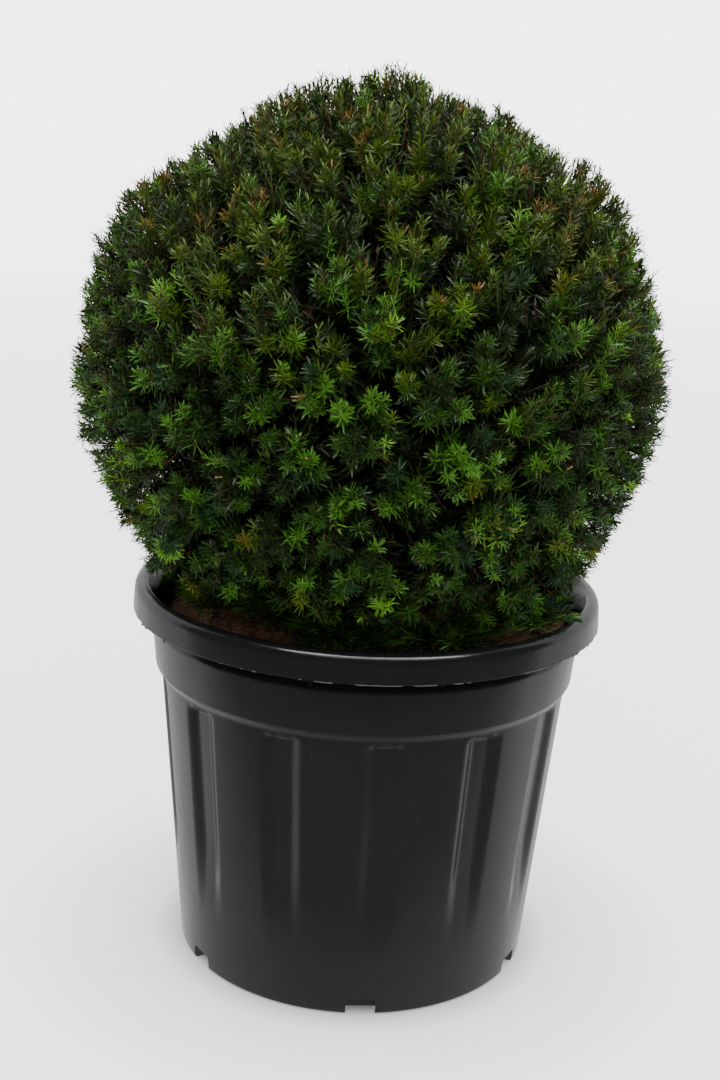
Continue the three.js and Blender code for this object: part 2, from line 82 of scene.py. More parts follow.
# The soil. Its lumps are pairs of size and height. Its hollow lies behind the front rim.
SOIL_LEVEL = 290
SOIL_RADIUS = 169
SOIL_SKIRT = 30
SOIL_LUMPS = [(34, 3.2), (13, 2.6), (6, 2.4), (3.2, 1.6)]
SOIL_SINK = Sizes(beyond=145, depth=3.5)
SOIL_HOLLOW = Sizes(x=-12, y=-118, wide=34, long=26, depth=17)
CRUMBS = Sizes(count=170, size=(1.0, 3.6), dents=0.28)
LITTER = [  # name, count, length and width
    ("fallen_needles", 620, (7, 14), 1.3),
    ("straw_bits", 150, (4, 20), 1.0),
]

# The stem.
STEM = Sizes(foot=18, radius=12, flare=14, fork=330, lean=5, lobes=5, lobe=0.16, ridge=1.3)

# The ball: the same rule as the solids have.
CENTRE = np.array([-6.0, 0.0, 506.0])
HEART = np.array([0.0, 0.0, 410.0])
BALL_RADIUS = 241
RISE = 224
FALL = 265
FULLNESS = 1.9
UNEVENNESS = 6
LOWEST = -0.74  # as a share of the ball's half height
BALL_FLOOR = Sizes(middle=337, edge=327, edge_radius=150, skirt=324.5, skirt_radius=171)
SWELLINGS = [  # azimuth, elevation, spread, height
    (180, 22, 12, 7),
    (178, 47, 15, -12),
    (3, 53, 6, -11),
    (0, 36, 12, 8),
    (0, -25, 14, 4),
    (-4, -44, 10, 9),
    (180, -12, 8, 5),
    (-2, 4, 9, -10),
    (-84, 12, 8, -13),
    (-110, 82, 17, 9),
]
LEADERS = Sizes(count=9, reach=0.36, radius=7, seed=11, crooked=9)
BRANCHES = Sizes(count=42, reach=0.68, radius=4, seed=12, join=(0.8, 1.0), droop=0.05)
SPRAYS = Sizes(count=205, depth=40, radius=2.2, seed=13, join=(0.6, 1.0), droop=0.05)

# The finer twigs that the solids leave out. They end that deep, and some groups up to their recess
# deeper. Their pull draws them to their parents, which they join along that share.
SHOOTS = Sizes(
    count=1450, depth=(3, 11), recess=0, radius=1.2, seed=14,
    pull=0.2, join=(0.25, 1.0), droop=0.15, crooked=0.08,
)
TIPS = Sizes(
    count=5200, depth=(-4, 1), recess=6, radius=0.7, seed=15,
    pull=0.48, join=(0.4, 1.0), droop=0.30, crooked=0.14,
)
INNER_TIPS = Sizes(
    count=3900, depth=(3, 44), recess=0, radius=0.8, seed=16,
    pull=0.1, join=(0.15, 0.9), droop=0.05, crooked=0.0,
)
HEART_TIPS = Sizes(
    count=1550, depth=(62, 130), recess=0, radius=0.9, seed=18,
    pull=0.0, join=(0.4, 1.0), droop=0.0, crooked=0.0,
)
UNDERSIDE = Sizes(count=760, reach=165, height=(340, 425), radius=0.9, join=(0.2, 0.9))
TWIG_END = 0.6  # the radius at the tip of an old twig
TIP_END = 0.55  # and of a young one
TUFTS = Sizes(uneven=6, dip=6, seed=62)  # how far some sprays stay back, and the dip between them
DEAD_TWIGS = Sizes(count=900, reach=(0.35, 0.8), length=(35, 75), radius=0.8, end=0.4, under=14, seed=17)
CUT_ENDS = Sizes(count=110, radius=0.75, length=(4, 9))

# The low boughs, and the masses at their tips as azimuth, spread, reach and droop.
LOW_MASSES = [
    (-97, 16, 168, 6),
    (-63, 16, 166, 7),
    (-28, 17, 188, -14),
    (13, 21, 165, 5),
    (58, 21, 166, 6),
    (104, 22, 168, 5),
    (150, 21, 164, 6),
    (-166, 20, 150, 4),
    (-130, 14, 114, 0),
]
LOW_BOUGH = Sizes(thick=3.4, thin=2.6, reach=84, root=307, tip=312, crown=5)
LOW_KNOT = Sizes(length=20, end=2.0)
LOW_TWIGS = Sizes(count=7, thick=1.6, thin=0.9)
LOW_SHOOTS = Sizes(count=8, length=(16, 32), thick=0.8, thin=0.5)
LOW_TINTS = {"blue": 0.4, "mid": 0.3, "fresh": 0.18, "shade": 0.12}

# Each kind of twig's needles: how many, from which share of the twig on, and, at its foot and tip, their
# lean away from it and their length. Deep inside they are few, and larger than life.
NEEDLES = {
    "tips": dict(count=31, first=0.12, lean=(80, 54), length=(11, 7), width=0.82, crowding=1.35, fine=True),
    "shoots": dict(count=46, first=0.3, lean=(78, 46), length=(12, 9), width=1.9, crowding=1.35),
    "inner": dict(count=22, first=0.1, lean=(80, 40), length=(15, 12)),
    "heart": dict(count=24, first=0.1, lean=(80, 50), length=(24, 20), width=5.5),
    "underside": dict(count=22, first=0.3, lean=(80, 50), length=(20, 17), width=4.2),
    "sprays": dict(count=60, first=0.1, lean=(85, 60), length=(18, 16), width=3.2),
    "low_shoots": dict(
        count=25, first=0.1, lean=(66, 28), length=(17, 12), width=1.15, crowding=1.1,
        flatness=0.6, curl=3.0, fine=True,
    ),
    "low_twigs": dict(
        count=50, first=0.15, lean=(70, 35), length=(16, 12), width=1.2,
        flatness=0.7, curl=2.6, fine=True,
    ),
}
INNER_WIDTHS = (1.4, 3.4)  # of the needles of inner twigs that end at these two depths
INNER_DEPTHS = (16, 44)

# Needle tints: linear red, green and blue, and the tint that is the next darker.
TINTS = {
    "deep": ((0.009, 0.017, 0.006), "deep"),
    "shade": ((0.013, 0.030, 0.006), "deep"),
    "mid": ((0.026, 0.077, 0.007), "shade"),
    "fresh": ((0.072, 0.200, 0.018), "mid"),
    "bright": ((0.155, 0.345, 0.030), "fresh"),
    "olive": ((0.074, 0.126, 0.009), "mid"),
    "bronze": ((0.158, 0.088, 0.014), "olive"),
    "gold": ((0.200, 0.200, 0.022), "olive"),
    "blue": ((0.018, 0.054, 0.018), "shade"),
}
TINT_SHARES = {  # of the twigs still mid green: everywhere, more of it above, by patch, and more below
    "bronze": (0.012, 0.15, 0, 0),
    "olive": (0.04, 0.48, 0.04, 0),
    "gold": (0.003, 0.005, 0, 0),
    "blue": (0.08, -0.05, 0, 0.12),
    "bright": (0.045, 0, 0, 0),
    "fresh": (0.31, 0, 0.1, 0),
    "shade": (0.5, 0, 0, 0),
}
# The darker tint below is older needles and painted shade inside each tuft.
TINT_START = 0.35  # how far along its twig a tint begins, and darker is below
LATE_TINTS = {"bronze": 0.8, "gold": 0.6}  # those that begin further out
LIKE_ITS_SHOOT = 0.6  # the share of tips that have their shoot's tint
# Turning darker deeper in is painted shade inside the ball, and older needles too.
DIMMED_AT = (12, 19, 30)  # the depths at which a tint turns darker
TINT_NAMES = list(TINTS)
NEXT_DARKER = np.array([TINT_NAMES.index(darker) for _, darker in TINTS.values()])

# The camera stands where the photographer stood.
CAMERA = Sizes(place=(-7.99, -1274.85, 701.42), pitch=74.776, roll=2.796, lens=52.6, sensor=36)
CAMERA_WHITE = 4.7  # how bright the walls look to the camera
AIM = Vector((0, 0, 0.4))  # where the lights point, in metres


# Numbers


def seeded(seed):
    """Park and Miller's generator, as the solids' rule uses it."""
    state = seed

    def draw():
        nonlocal state
        state = state * 16807 % 2147483647
        return state / 2147483647

    return draw


def unit(vectors):
    return vectors / np.linalg.norm(vectors, axis=-1, keepdims=True)


def smoothstep(low, high, value):
    share = np.clip((value - low) / (high - low), 0, 1)
    return share * share * (3 - 2 * share)


def mix(low, high, share):
    return low + (high - low) * share


def polar(azimuth, radius, z):
    angle = np.radians(azimuth)
    return np.stack(np.broadcast_arrays(radius * np.cos(angle), radius * np.sin(angle), z), axis=-1)


def across_and_aside(directions):
    """Two unit vectors square to each direction and to each other."""
    start = np.where(np.abs(directions[:, 2:]) < 0.9, UP, np.array([1.0, 0.0, 0.0]))
    across = unit(np.cross(directions, start))
    return across, np.cross(directions, across)


def smooth_noise(x, y, size, random):
    """A random height from 0 to 1 at each point, smooth over a patch of that size."""
    grid = random.random((NOISE_CELLS, NOISE_CELLS))
    u, v = x / size, y / size
    i, j = np.floor(u).astype(int), np.floor(v).astype(int)
    fu, fv = smoothstep(0, 1, u - i), smoothstep(0, 1, v - j)

    def corner(a, b):
        return grid[(i + a) % NOISE_CELLS, (j + b) % NOISE_CELLS]

    return mix(mix(corner(0, 0), corner(1, 0), fu), mix(corner(0, 1), corner(1, 1), fu), fv)


# Meshes


def in_scene(name, data):
    made = bpy.data.objects.new(name, data)
    bpy.context.scene.collection.objects.link(made)
    return made


def piece(name, points, faces, material, slot, replaces=(), smooth=False):
    """A mesh object from an array of points in millimetres and one of faces, riding on the plant."""
    mesh = bpy.data.meshes.new(name)
    sides = faces.shape[1]
    mesh.vertices.add(len(points))
    mesh.vertices.foreach_set("co", (points * MM).astype(np.float32).ravel())
    mesh.loops.add(faces.size)
    mesh.loops.foreach_set("vertex_index", faces.astype(np.int32).ravel())
    mesh.polygons.add(len(faces))
    mesh.polygons.foreach_set("loop_start", np.arange(0, faces.size, sides, dtype=np.int32))
    mesh.polygons.foreach_set("use_smooth", np.full(len(faces), smooth))
    mesh.update(calc_edges=True)
    mesh.materials.append(material)
    made = in_scene(name, mesh)
    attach(made, "root")
    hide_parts(*replaces)
    return made


def joined(parts):
    """Several (points, faces) pairs as one."""
    points, faces, start = [], [], 0
    for some_points, some_faces in parts:
        points.append(some_points)
        faces.append(some_faces + start)
        start += len(some_points)
    return np.concatenate(points), np.concatenate(faces)


def grid_faces(rows, columns):
    """Quads between rows of points, wrapping round from the last column to the first."""
    row, column = np.meshgrid(np.arange(rows - 1), np.arange(columns), indexing="ij")
    row, column = row.ravel(), column.ravel()
    after = (column + 1) % columns
    here, above = row * columns, (row + 1) * columns
    return np.stack([here + column, here + after, above + after, above + column], axis=1)


def rounded(corners, steps=5):
    """An outline of (x, y, round) corners, each bent from that far before it to that far after it."""
    outline = []
    for n, (x, y, bend) in enumerate(corners):
        corner = np.array([x, y], float)
        if not bend:
            outline.append(corner)
            continue
        before = corner + bend * unit(np.array(corners[n - 1][:2], float) - corner)
        after = corner + bend * unit(np.array(corners[n + 1][:2], float) - corner)
        for t in np.linspace(0, 1, steps):
            outline.append(before * (1 - t) ** 2 + 2 * corner * t * (1 - t) + after * t * t)
    return np.array(outline)


# Twigs, as arrays of curves from a start over a bend to an end


def on_curve(curve, t):
    start, bend, end = curve
    t = np.asarray(t)[..., None]
    return start * (1 - t) ** 2 + 2 * bend * t * (1 - t) + end * t * t


def along_curve(curve, t):
    start, bend, end = curve
    t = np.asarray(t)[..., None]
    return unit((1 - t) * (bend - start) + t * (end - bend) + 1e-9)


def picked(curve, index):
    return tuple(part[index] for part in curve)


def tubes(curve, from_radius, to_radius, sides, steps):
    """One tapering tube along each curve, closed at its tip by a point."""
    count = len(curve[0])
    rings = []
    across, _ = across_and_aside(along_curve(curve, np.full(count, 0.5)))
    for step in range(steps + 1):
        t = np.full(count, step / steps)
        middle = on_curve(curve, t)
        direction = along_curve(curve, t)
        flat_across = unit(across - direction * np.sum(across * direction, axis=1, keepdims=True))
        flat_aside = np.cross(direction, flat_across)
        radius = mix(from_radius, to_radius, step / steps)
        for side in range(sides):
            turn = 2 * math.pi * side / sides
            rings.append(middle + radius * (flat_across * math.cos(turn) + flat_aside * math.sin(turn)))
    rings.append(curve[2] + along_curve(curve, np.ones(count)) * to_radius)
    points = np.stack(rings, axis=1).reshape(-1, 3)
    one = []
    for quad in grid_faces(steps + 1, sides):
        one.append([quad[0], quad[1], quad[2]])
        one.append([quad[0], quad[2], quad[3]])
    last = steps * sides
    for side in range(sides):
        one.append([last + side, last + (side + 1) % sides, last + sides])
    return points, repeated(one, last + sides + 1, count)


def repeated(faces, points_each, count):
    """The faces of one form, for that many forms in a row."""
    return (np.array(faces)[None] + points_each * np.arange(count)[:, None, None]).reshape(-1, 3)


# Needles


def blades(root, direction, facing, length, width, curl, fine):
    """Flat needles: parallel-sided with a drawn-out tip where fine, and else a plain lens shape."""
    side = unit(np.cross(direction, facing)) * (0.5 * width)[:, None]
    lift = unit(facing - direction * np.sum(facing * direction, axis=1, keepdims=True)) * curl[:, None]

    def at(t):
        return root + direction * (length * t)[:, None] + lift * t * t

    if fine:
        rows = [at(0.0) - 0.8 * side, at(0.0) + 0.8 * side, at(0.8) - side, at(0.8) + side, at(1.0)]
        one = [[0, 1, 3], [0, 3, 2], [2, 3, 4]]
    else:
        rows = [at(0.0), at(0.5) - side, at(0.5) + side, at(1.0)]
        one = [[0, 2, 1], [1, 2, 3]]
    return np.stack(rows, axis=1).reshape(-1, 3), repeated(one, len(rows), len(root))


def tints_along(tint, share):
    """Each twig's own tint from where that begins, and the next darker one below: older needles, and
    painted shade inside the tuft.
    """
    starts = np.array([LATE_TINTS.get(name, TINT_START) for name in TINT_NAMES])
    return np.where(share > starts[tint], tint, NEXT_DARKER[tint])


class Sheaf:
    """Needles gathered by tint, and joined at the end into a few pieces."""

    def __init__(self):
        self.parts = {name: [] for name in TINTS}

    def add(self, curve, tint, random, keep, count, first, lean, length, width,
            crowding=1.0, flatness=0.0, curl=1.0, fine=False):
        """Needles in a spiral along each curve, crowding to its tip, where keep allows their own tips.
        A flat spray has them to its sides, and fine ones have a truer shape further out."""
        twigs = len(curve[0])
        twig = np.repeat(np.arange(twigs), count)
        step = np.tile(np.arange(count), twigs)
        needles = len(step)
        share = (step + 0.6 * random.random(needles)) / count
        t = mix(first, 1.0, 1 - (1 - share) ** crowding)
        own = picked(curve, twig)
        root = on_curve(own, t)
        axis = along_curve(own, t)
        across, aside = across_and_aside(axis)
        turn = GOLDEN_ANGLE * step + 2 * math.pi * random.random(twigs)[twig]
        turn = turn + 0.35 * random.normal(size=needles)
        out = unit(across * np.cos(turn)[:, None] + aside * (np.sin(turn) * (1 - flatness))[:, None])
        angle = np.radians(mix(*lean, share**1.6) + 11 * random.normal(size=needles))
        direction = unit(axis * np.cos(angle)[:, None] + out * np.sin(angle)[:, None] + 0.12 * UP)
        size = mix(*length, share**1.5) * random.uniform(0.62, 1.14, needles)
        size = size * random.uniform(0.8, 1.2, twigs)[twig]
        detailed = share > (0.4 if fine else 1.0)
        width = np.broadcast_to(width, (twigs,))[twig] * random.uniform(0.8, 1.15, needles)
        width = width * np.where(detailed, 1.0, 1.25 if fine else 1.0)
        bend = curl * size / 10 * random.uniform(0.2, 1.6, needles)
        tints = tints_along(tint[twig], share)
        kept = keep(root + direction * size[:, None])
        for number, name in enumerate(TINT_NAMES):
            for outer in (True, False):
                chosen = kept & (tints == number) & (detailed == outer)
                if chosen.any():
                    form = [part[chosen] for part in (root, direction, axis, size, width, bend)]
                    self.parts[name].append(blades(*form, outer))

    def pieces(self, prefix, slot, replaces, materials):
        for name, parts in self.parts.items():
            if not parts:
                continue
            points, faces = joined(parts)
            for n, start in enumerate(range(0, len(faces), PIECE_LIMIT)):
                some = faces[start : start + PIECE_LIMIT]
                used, renumbered = np.unique(some, return_inverse=True)
                piece(f"{prefix}_{name}_{n + 1}", points[used], renumbered.reshape(some.shape),
                      materials[name], slot, replaces)


# Materials


def link(output, entry):
    output.id_data.links.new(output, entry)


def add_node(tree, kind, *sources, **inputs):
    """A node in a tree, its first inputs linked to those sources, and others set by name."""
    node = tree.nodes.new(kind)
    for source, entry in zip(sources, node.inputs):
        link(source, entry)
    for name, value in inputs.items():
        node.inputs[name.replace("_", " ")].default_value = value
    return node


def new_material(name, colour, roughness, specular):
    material = bpy.data.materials.new(name)
    material.use_nodes = True
    shader = material.node_tree.nodes["Principled BSDF"]
    shader.inputs["Base Color"].default_value = (*colour, 1)
    shader.inputs["Roughness"].default_value = roughness
    shader.inputs["Specular IOR Level"].default_value = specular
    return material, shader


def coordinates(tree, space):
    return add_node(tree, "ShaderNodeTexCoord").outputs[space]


def along_axis(tree, space, axis):
    """How far each point lies along an axis of the object, in metres, or of the world."""
    return add_node(tree, "ShaderNodeSeparateXYZ", coordinates(tree, space)).outputs[axis]


def noise(tree, scale, detail=4.0, roughness=0.6, stretch=(1, 1, 1)):
    """The value of a noise in the object's own metres."""
    mapping = add_node(tree, "ShaderNodeMapping", coordinates(tree, "Object"), Scale=stretch)
    grain = {"Scale": scale, "Detail": detail, "Roughness": roughness}
    return add_node(tree, "ShaderNodeTexNoise", mapping.outputs[0], **grain).outputs["Fac"]


def stepped(value, stops):
    """A colour for each value, between two or more (position, colour) stops."""
    ramp = add_node(value.id_data, "ShaderNodeValToRGB", value)
    elements = ramp.color_ramp.elements
    while len(elements) < len(stops):
        elements.new(0.5)
    for element, (position, colour) in zip(elements, stops):
        element.position = position
        element.color = (*colour, 1)
    return ramp.outputs["Color"]


def ranged(value, low, high):
    """A value stretched from between low and high to between 0 and 1."""
    node = add_node(value.id_data, "ShaderNodeMapRange", value, From_Min=low, From_Max=high)
    return node.outputs["Result"]


def grey(value):
    return (value, value, value)


def blended(factor, one, other):
    """One colour where the factor is 0, and the other where it is 1."""
    node = add_node(factor.id_data, "ShaderNodeMix", factor)
    node.data_type = "RGBA"
    link(one, node.inputs[6])
    link(other, node.inputs[7])
    return node.outputs[2]


def raised(shader, height, strength, distance):
    """Relief from a height, on top of any relief that is there already."""
    bump = add_node(height.id_data, "ShaderNodeBump", Strength=strength, Distance=distance)
    if shader.inputs["Normal"].links:
        link(shader.inputs["Normal"].links[0].from_socket, bump.inputs["Normal"])
    link(height, bump.inputs["Height"])
    link(bump.outputs["Normal"], shader.inputs["Normal"])


def grained(name, colour, finish, grain, stops, relief=None):
    """A colour that a noise darkens and lightens, with relief from the same noise. The finish is
    roughness and specular, stops are (position, tone), and relief is strength and distance."""
    material, shader = new_material(name, colour, *finish)
    value = noise(material.node_tree, **grain)
    toned = [(position, tuple(tone * c for c in colour)) for position, tone in stops]
    link(stepped(value, toned), shader.inputs["Base Color"])
    if relief:
        raised(shader, value, *relief)
    return material


def needle_material(name, colour, finish=(0.32, 0.2)):
    return grained(name, colour, finish, dict(scale=260, detail=2), [(0.3, 0.7), (0.7, 1.35)])


def bark_material(name, colour, scale):
    grain = dict(scale=scale, detail=6, roughness=0.7, stretch=(1, 1, 0.3))
    return grained(name, colour, (0.85, 0.2), grain, [(0.32, 0.45), (0.55, 1), (0.75, 1.7)], (0.6, 0.001))


def peat_material(name, tone):
    brown = tuple(tone * c for c in (0.120, 0.066, 0.044))
    grain = dict(scale=240, detail=6, roughness=0.75)
    return grained(name, brown, (0.95, 0.15), grain, [(0.35, 0.25), (0.55, 1), (0.78, 1.6)], (0.8, 0.002))


def plain_fibre(name, colour):
    return grained(name, colour, (0.75, 0.3), dict(scale=180), [(0.3, 0.6), (0.7, 1.3)])


def plastic_material():
    """Semi-gloss black, greyed but for a painted shade just under the lip, with specks of dust and faint
    upright scuffs.
    """
    material, shader = new_material("black_plastic", (0.006, 0.0062, 0.0068), 0.3, 0.5)
    tree = material.node_tree
    cloudy = noise(tree, 9.0, 5.0, 0.65)
    specks = noise(tree, 420.0, 3.0, 0.75)
    scuffs = noise(tree, 90.0, 4.0, 0.7, stretch=(1, 1, 0.08))
    near_lip = ranged(along_axis(tree, "Object", "Z"), 0.284, 0.299)
    black, white = grey(0), grey(1)
    # Just under the lip the plastic takes the darker fresh colour: a painted shade where the lip overhangs.
    painted_shade_under_lip = stepped(near_lip, [(0, black), (0.3, white), (0.93, white), (0.95, black)])
    greyed = stepped(cloudy, [(0.3, (0.0075, 0.0077, 0.0085)), (0.7, (0.0115, 0.0118, 0.0130))])
    fresh = stepped(cloudy, [(0.3, (0.002, 0.002, 0.0023)), (0.7, (0.003, 0.003, 0.0034))])
    clean = blended(painted_shade_under_lip, greyed, fresh)
    dusty = stepped(cloudy, [(0.3, (0.035, 0.033, 0.031)), (0.7, (0.085, 0.08, 0.075))])
    dust = stepped(specks, [(0.66, black), (0.74, grey(0.8))])
    link(blended(dust, clean, dusty), shader.inputs["Base Color"])
    link(stepped(scuffs, [(0.35, grey(0.15)), (0.7, grey(0.25))]), shader.inputs["Roughness"])
    raised(shader, scuffs, 0.04, 0.0006)
    raised(shader, cloudy, 0.25, 0.004)
    return material


# The pot


def groove_depth(azimuth, z):
    """How far the wall is pressed in: flat-bottomed grooves, squared at the top, that run out below."""
    pitch = 360 / FLUTES.count
    offset = np.abs((azimuth - FLUTES.first + pitch / 2) % pitch - pitch / 2)
    half = 0.5 * FLUTES.share * pitch
    across = 1 - smoothstep(0.36 * half, 1.1 * half, offset)
    top = WALL_TOP - 1 - FLUTES.arch * np.minimum(offset / half, 1) ** 2
    below_top = 1 - smoothstep(top - FLUTES.slope, top, z)
    return FLUTES.depth * across * below_top * smoothstep(*FLUTES.fade, z)


def pot_outline():
    """The pot's section, up the outside and down the inside, in short steps on the wall."""
    fine_radius = mix(BASE_RADIUS, WALL_TOP_RADIUS, FINE_FROM / WALL_TOP)
    outline = rounded([
        (0.01, 0, 0),
        (BASE_RADIUS, 0, 3),
        (fine_radius, FINE_FROM, 0),
        (WALL_TOP_RADIUS, WALL_TOP, 1.5),
        (COLLAR_FOOT_RADIUS - COLLAR_INDENT, COLLAR_FOOT, 1.2),
        (COLLAR_FOOT_RADIUS, COLLAR_FOOT + COLLAR_ROUND, 1.2),
        (COLLAR_RADIUS, LIP_EDGE - NECK.height, 1.5),
        (NECK.radius, LIP_EDGE, 0.8),
        (LIP_RADIUS, LIP_EDGE, 0.8),
        (CREST_RADIUS, POT_HEIGHT, CREST_ROUND),
        (CREST_INSIDE, POT_HEIGHT - 0.3, 2.5),
        (INSIDE.lip, LIP_EDGE + 7, 5),
        (INSIDE.collar, COLLAR_FOOT + COLLAR_ROUND, 4),
        (INSIDE.wall_top, WALL_TOP, 0),
        (INSIDE.base, PLATE, 0),
        (0.01, PLATE, 0),
    ], 7)
    finer = [outline[0]]
    for before, after in zip(outline, outline[1:]):
        steps = 1
        if after[0] > BASE_RADIUS - 1 and before[1] < COLLAR_FOOT:
            longest = WALL_STEPS.fine if before[1] > FINE_FROM - 1 else WALL_STEPS.coarse
            steps = max(1, int(np.linalg.norm(after - before) / longest))
        for step in range(1, steps + 1):
            finer.append(mix(before, after, step / steps))
    return np.array(finer)


def pot_columns():
    """The azimuths of the pot's upright edges, close together on the sides of each groove."""
    pitch = 360 / FLUTES.count
    half = 0.5 * FLUTES.share * pitch
    side = half * np.linspace(0.32, 1.16, 11)
    middle = half * np.linspace(-0.1, 0.1, 2)
    rib = np.linspace(1.4 * half, pitch - 1.4 * half, 6)
    one = np.concatenate([-side[::-1], middle, side, rib])
    return (FLUTES.first + pitch * np.arange(FLUTES.count)[:, None] + one).ravel()


def make_pot(material):
    outline = pot_outline()
    azimuth = pot_columns()
    radius, z = outline[:, :1], outline[:, 1:]
    wall = mix(BASE_RADIUS, WALL_TOP_RADIUS, z / WALL_TOP)
    on_wall = (radius > wall - 0.9) & (z < WALL_TOP - 0.5) & (z > 2)
    pressed = np.where(on_wall, groove_depth(azimuth[None], z), 0)
    waver = OUT_OF_ROUND.by * np.sin(np.radians(2 * azimuth + OUT_OF_ROUND.turn))[None]
    waver = waver * smoothstep(*OUT_OF_ROUND.heights, z)
    points = polar(azimuth[None], radius - pressed + waver, z).reshape(-1, 3)
    faces = grid_faces(len(outline), len(azimuth))
    pot = piece("nursery_pot", points, faces, material, "pot_plastic", ["pot"], True)
    cut_notches(pot)
    pot.data.set_sharp_from_angle(angle=math.radians(35))


def notch_cutters():
    """The forms that cut the drain notches, each an arch with round shoulders."""
    half, below, bend = NOTCHES.width / 2, -NOTCHES.below, NOTCHES.round
    arch = rounded([
        (-half, below, 0),
        (-half, NOTCHES.height, bend),
        (half, NOTCHES.height, bend),
        (half, below, 0),
    ])
    count = len(arch)
    points, faces = [], []
    for n in range(NOTCHES.count):
        azimuth = NOTCHES.first + 360 * n / NOTCHES.count
        turn = np.array(Matrix.Rotation(math.radians(azimuth), 3, "Z"))
        for depth in (-NOTCHES.depth, NOTCHES.depth):
            flat = np.stack([np.full(count, BASE_RADIUS + depth), arch[:, 0], arch[:, 1]], axis=1)
            points.append(flat @ turn.T)
        inner = [2 * count * n + i for i in range(count)]
        outer = [count + i for i in inner]
        faces.append(inner)
        faces.append(outer[::-1])
        for i in range(count):
            after = (i + 1) % count
            faces.append([inner[after], inner[i], outer[i], outer[after]])
    mesh = bpy.data.meshes.new("notch_cutters")
    mesh.from_pydata((np.concatenate(points) * MM).tolist(), [], faces)
    return in_scene("notch_cutters", mesh)


def cut_notches(pot):
    cutters = notch_cutters()
    cut = pot.modifiers.new("notches", "BOOLEAN")
    cut.operation = "DIFFERENCE"
    cut.solver = "EXACT"
    cut.object = cutters
    bpy.context.view_layer.update()
    result = bpy.data.meshes.new_from_object(pot.evaluated_get(bpy.context.evaluated_depsgraph_get()))
    pot.modifiers.clear()
    pot.data = result
    bpy.data.objects.remove(cutters)


def lip_strip(name, azimuth, drop, material):
    """A strip that hangs from the lip's lower edge, and lies inside the lip where nothing hangs."""
    proud, top = 0.15, LIP_EDGE + 0.5
    outer = LIP_RADIUS + np.where(drop > 0.05, proud, -0.7)
    inner = LIP_RADIUS - 0.9
    rows = [
        polar(azimuth, outer - proud, top),
        polar(azimuth, outer, LIP_EDGE - drop),
        polar(azimuth, inner, LIP_EDGE - drop),
        polar(azimuth, inner, top),
        polar(azimuth, outer - proud, top),
    ]
    piece(name, np.concatenate(rows), grid_faces(len(rows), len(azimuth)), material, "pot_plastic")


def make_flash(rubbed_and_highlit, plastic):
    """What moulding left under the lip: a thin edge that is pale in places, as worn plastic with a painted
    highlight, and small burrs.
    """
    random = np.random.default_rng(31)
    azimuth = np.arange(0, 360, FLASH.step)
    level = 0 * azimuth
    fine = smooth_noise(azimuth, level, FLASH.fine, random)
    broken = smooth_noise(azimuth, level, FLASH.broken, random)
    lip_strip("lip_flash", azimuth, FLASH.drop * np.maximum(0.7 * fine + broken - 0.7, 0), rubbed_and_highlit)
    lumps = np.maximum(smooth_noise(azimuth, level, BURRS.size, random) - 0.7, 0) / 0.3
    patches = smoothstep(0.45, 0.8, smooth_noise(azimuth, level, BURRS.patch, random))
    lip_strip("lip_burrs", azimuth, BURRS.drop * lumps * patches, plastic)


# The soil


def soil_height(x, y):
    """Crumbly ground that sinks a little at the wall and dips into a hole behind the front rim."""
    random = np.random.default_rng(41)
    radius = np.hypot(x, y)
    azimuth = np.arctan2(y, x)
    z = SOIL_LEVEL + 1.4 * np.sin(3 * azimuth + 0.04 * radius) + 1.2 * np.sin(7 * azimuth - 0.07 * radius)
    for size, height in SOIL_LUMPS:
        z = z + height * (smooth_noise(x + 400, y + 400, size, random) - 0.5)
    z = z - SOIL_SINK.depth * smoothstep(SOIL_SINK.beyond, SOIL_RADIUS, radius)
    across = (x - SOIL_HOLLOW.x) / SOIL_HOLLOW.wide
    away = (y - SOIL_HOLLOW.y) / SOIL_HOLLOW.long
    z = z - SOIL_HOLLOW.depth * (1 - smoothstep(0.35, 1.0, np.hypot(across, away)))
    return mix(SOIL_LEVEL + 0.3, z, smoothstep(STEM.foot, STEM.foot + 24, radius))


def make_soil(material):
    rings, columns = 74, 240
    azimuth = np.arange(columns) * 360 / columns
    radius = mix(1.0, SOIL_RADIUS, np.linspace(0, 1, rings)[:, None])
    top = polar(azimuth[None], radius, 0.0).reshape(-1, 3)
    top[:, 2] = soil_height(top[:, 0], top[:, 1])
    foot = polar(azimuth, SOIL_RADIUS, SOIL_LEVEL - SOIL_SKIRT)
    middle = polar(azimuth, 1.0, SOIL_LEVEL - SOIL_SKIRT)
    points = np.concatenate([middle, top, foot])
    piece("peat_soil", points, grid_faces(rings + 2, columns), material, "potting_soil", ["soil"], True)


def small_ball():
    """The points and faces of a ball with few faces."""
    mesh = bpy.data.meshes.new("ball")
    form = bmesh.new()
    bmesh.ops.create_icosphere(form, subdivisions=1, radius=1)
    form.to_mesh(mesh)
    form.free()
    points = np.array([v.co for v in mesh.vertices])
    faces = np.array([p.vertices for p in mesh.polygons])
    bpy.data.meshes.remove(mesh)
    return points, faces


def make_crumbs(materials):
    """Lumps of peat on the soil, each a dented ball of a few faces."""
    random = np.random.default_rng(42)
    one_points, one_faces = small_ball()
    for number, material in enumerate(materials):
        parts = []
        for _ in range(CRUMBS.count):
            azimuth = random.uniform(0, 360)
            radius = SOIL_RADIUS * math.sqrt(random.uniform(0.03, 0.93))
            size = random.uniform(*CRUMBS.size)
            place = polar(azimuth, radius, 0.0)
            place[2] = soil_height(place[0], place[1]) + 0.15 * size
            dents = 1 + CRUMBS.dents * random.normal(size=(len(one_points), 1))
            squat = np.array([1.0, random.uniform(0.6, 1.0), random.uniform(0.5, 0.8)])
            parts.append((one_points * dents * squat * size + place, one_faces))
        piece(f"peat_crumbs_{number + 1}", *joined(parts), material, "potting_soil")


